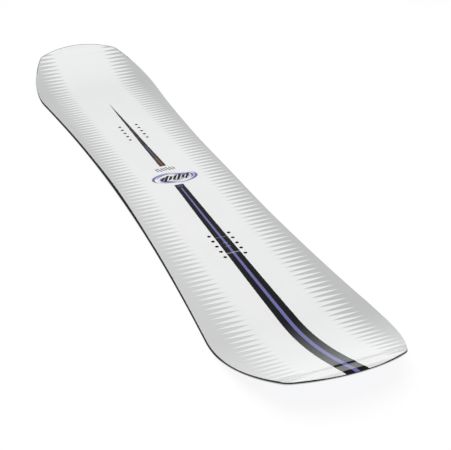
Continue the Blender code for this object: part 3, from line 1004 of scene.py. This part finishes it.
class MakeGlass(bpy.types.Operator):
    """Upper fibreglass sheet with holes for the insert barrels."""

    bl_idname = "snowboard.glass"
    bl_label = "Upper fibreglass"

    def execute(self, context):
        made = board()
        sheet = made.sheet("upper_glass_sheet", 0.0010, PLAIN)
        for along in (1.0, -1.0):
            trim(sheet, along, 0.0, 0.7785)
        made.raise_to_top(sheet, made.glass_drop)
        thicken(sheet, depth=made.GLASS)
        cut_mouths(made, sheet, 0.0045, 0.00005)
        made.press(sheet)
        material = bpy.data.materials.get("fibreglass_weave") or glass_material()
        finish_piece(sheet, "upper_fibreglass", material)
        return {"FINISHED"}


class MakeInserts(bpy.types.Operator):
    """Turned and threaded inserts, one modelled and the rest copied."""

    bl_idname = "snowboard.inserts"
    bl_label = "Inserts"

    THREAD_PITCH = 0.0010
    BORE = 0.0027
    ROOT_RADIUS = 0.0031
    BARREL = 0.0042
    FLANGE = 0.0080
    SEGMENTS = 40

    def execute(self, context):
        made = board()
        low, high = made.core_low + 0.0001, 0.0078
        master = self.turned(low, high)
        zinc = steel_material("insert_zinc", finish_colours().zinc, (400.0, 400.0, 2600.0), 0.34)
        for name, s, y in made.insert_places():
            piece = copy_of(master, name.replace("insert_", "threaded_insert_"))
            foot_x = float(np.sign(s) * np.interp(abs(s), made.fine, made.x))
            foot_z = float(np.interp(abs(s), made.fine, made.z))
            turn = -float(np.sign(s) * np.interp(abs(s), made.fine, made.turn))
            spot = Matrix.Translation((foot_x, y, foot_z)) @ Matrix.Rotation(turn, 4, "Y")
            piece.data.transform(spot)
            finish_piece(piece, name, zinc)
        discard(master)
        return {"FINISHED"}

    def turned(self, low, high):
        """Outline of the insert from the bore's floor to the flange, spun round."""
        floor = high - 0.0048
        line = [(0.0, floor), (self.BORE * 0.9, floor)]
        height = floor + 0.0004
        while height < high - 0.0008:
            line += [(self.ROOT_RADIUS, height), (self.BORE, height + self.THREAD_PITCH / 2.0)]
            height += self.THREAD_PITCH
        line += [(self.BORE, high - 0.0004), (self.BORE + 0.0004, high), (self.BARREL - 0.0002, high),
                 (self.BARREL, high - 0.0002), (self.BARREL, low + 0.0015),
                 (self.BARREL + 0.0003, low + 0.0012), (self.FLANGE - 0.0002, low + 0.0012),
                 (self.FLANGE, low + 0.0010), (self.FLANGE, low + 0.0002), (self.FLANGE - 0.0002, low),
                 (0.0, low)]
        master = new_grid("insert_master", len(line) - 1, 1)
        spots = places(master)
        number = np.rint((spots[:, 0] + 1.0) / 2.0 * (len(line) - 1)).astype(int)
        points = np.array([(line[n][0], 0.0, line[n][1]) for n in number])
        put(master, points)
        tidy_normals(master)
        edit_all(master)
        bpy.ops.mesh.select_mode(type="VERT")
        bpy.ops.mesh.delete(type="ONLY_FACE")
        bpy.ops.mesh.select_all(action="SELECT")
        bpy.ops.mesh.spin(steps=self.SEGMENTS, angle=2.0 * pi, axis=(0.0, 0.0, 1.0))
        object_mode()
        tidy_normals(master, 1e-6)
        return master


class FinishInside(bpy.types.Operator):
    """Wood, fibreglass and rubber finishes for the layers kept from the frame."""

    bl_idname = "snowboard.inside"
    bl_label = "Inner layers"

    def execute(self, context):
        woods = (wood_material("poplar_planed", (0.70, 0.50, 0.29), (0.56, 0.36, 0.18), 0.0),
                 wood_material("paulownia_planed", (0.48, 0.29, 0.14), (0.33, 0.18, 0.08), 3.1))
        glass = bpy.data.materials.get("fibreglass_weave") or glass_material()
        rubber = rubber_material()
        for name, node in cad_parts.items():
            if name.startswith("core_stringer_"):
                self.give(node, woods[(int(name[-2:]) + 1) % 2])
            elif name == "lower_fibreglass":
                self.give(node, glass)
            elif name.startswith("edge_foil_"):
                self.give(node, rubber)
        return {"FINISHED"}

    def give(self, node, material):
        for slot in node.material_slots:
            slot.material = material


class SetStage(bpy.types.Operator):
    """Pale light-table floor, soft overhead light, graded surround and the camera."""

    bl_idname = "snowboard.stage"
    bl_label = "Stage"

    # Height on the surround's sphere, from its horizon up, and brightness there.
    SURROUND = ((0.0, 0.95), (0.05, 0.90), (0.11, 0.74), (0.18, 0.63), (0.23, 0.60), (0.275, 0.50),
                (0.33, 0.36), (0.385, 0.30), (0.43, 0.25), (0.49, 0.165), (0.55, 0.10), (0.62, 0.06),
                (0.80, 0.06), (1.0, 0.20))

    def execute(self, context):
        settings = context.scene.snowboard_stage
        self.floor(settings)
        self.surround(context.scene)
        self.overhead_light(settings)
        self.camera(context.scene)
        context.scene.view_settings.view_transform = "Standard"
        context.scene.view_settings.look = "None"
        return {"FINISHED"}

    def floor(self, settings):
        bpy.ops.mesh.primitive_circle_add(vertices=96, radius=60.0, fill_type="NGON")
        floor = bpy.context.object
        floor.name = "floor"
        tree = Tree("floor_pale")
        glow = tree.add("Emission", {"Color": (1.0, 1.0, 1.0), "Strength": settings.floor_glow})
        paint = tree.add("BsdfDiffuse", {"Color": (1.0 - settings.floor_glow,) * 3})
        both = tree.add("AddShader", (glow, paint))
        clear = tree.add("BsdfTransparent")
        from_below = tree.add("NewGeometry", output="Backfacing")
        tree.fill(tree.nodes["Material Output"].inputs["Surface"],
                  tree.add("MixShader", (from_below, both, clear)))
        floor.data.materials.append(tree.owner)

    def surround(self, scene):
        """Pale to the eye, but graded from bright to dim in reflections."""
        scene.world = bpy.data.worlds.new("studio")
        tree = Tree("studio", scene.world)
        height = tree.split(tree.add("TexCoord"))[2]
        shade = tree.add("ValToRGB", (height,))
        stops = shade.socket.node.color_ramp.elements
        while len(stops) < len(self.SURROUND):
            stops.new(0.5)
        for stop, (place, level) in zip(stops, self.SURROUND):
            stop.position = place
            stop.color = (level * 0.970, level * 0.988, level, 1.0)
        graded = tree.add("Background", {"Color": shade, "Strength": 1.2})
        plain = tree.add("Background", {"Color": (0.98, 0.98, 0.98)})
        seen = tree.add("LightPath", output="Is Camera Ray")
        tree.fill(tree.nodes["World Output"].inputs["Surface"],
                  tree.add("MixShader", (seen, graded, plain)))

    def overhead_light(self, settings):
        bpy.ops.object.light_add(type="AREA", location=(0.0, 0.0, 2.6))
        light = bpy.context.object
        light.name = "overhead_light"
        light.data.size = 3.4
        light.data.energy = settings.key_power
        light.visible_glossy = False

    def camera(self, scene):
        bpy.ops.object.camera_add()
        camera = bpy.context.object
        camera.name = "camera"
        right = Vector((0.3824886, 0.9238899, -0.0113987))
        up = Vector((-0.4452418, 0.1951111, 0.8738944))
        forward = Vector((-0.8096062, 0.3291795, -0.4859822))
        turned = Matrix((right, up, -forward)).transposed().to_4x4()
        camera.matrix_world = Matrix.Translation((1.79825, -0.61975, 0.96346)) @ turned
        camera.data.lens = 81.74
        camera.data.clip_end = 200.0
        scene.camera = camera


class SnowboardPanel(bpy.types.Panel):
    """Lists the snowboard's pieces and sizes."""

    bl_idname = "VIEW3D_PT_snowboard"
    bl_label = "Snowboard"
    bl_space_type = "VIEW_3D"
    bl_region_type = "UI"
    bl_category = "Snowboard"

    def draw(self, context):
        column = self.layout.column()
        for operator in OPERATORS:
            column.operator(operator.bl_idname)
        for key in GROUPS:
            group = getattr(context.scene, key)
            box = self.layout.box()
            for name in group.bl_rna.properties.keys():
                if name not in ("rna_type", "name"):
                    box.prop(group, name)


OPERATORS = (MakeTopsheet, MakeBase, MakeEdges, MakeSidewalls, MakeGlass, MakeInserts, FinishInside, SetStage)
GROUPS = {"snowboard_shape": SnowboardShape, "snowboard_finish": SnowboardFinish,
          "snowboard_stage": SnowboardStage}
CLASSES = (*GROUPS.values(), *OPERATORS, SnowboardPanel)


def register():
    for made in CLASSES:
        bpy.utils.register_class(made)
    for key, group in GROUPS.items():
        setattr(bpy.types.Scene, key, PointerProperty(type=group))


def unregister():
    for key in GROUPS:
        delattr(bpy.types.Scene, key)
    for made in reversed(CLASSES):
        bpy.utils.unregister_class(made)


def main():
    register()
    bpy.ops.snowboard.topsheet()
    bpy.ops.snowboard.base()
    bpy.ops.snowboard.edges()
    bpy.ops.snowboard.sidewalls()
    bpy.ops.snowboard.glass()
    bpy.ops.snowboard.inserts()
    bpy.ops.snowboard.inside()
    bpy.ops.snowboard.stage()


if __name__ == "__main__":
    main()
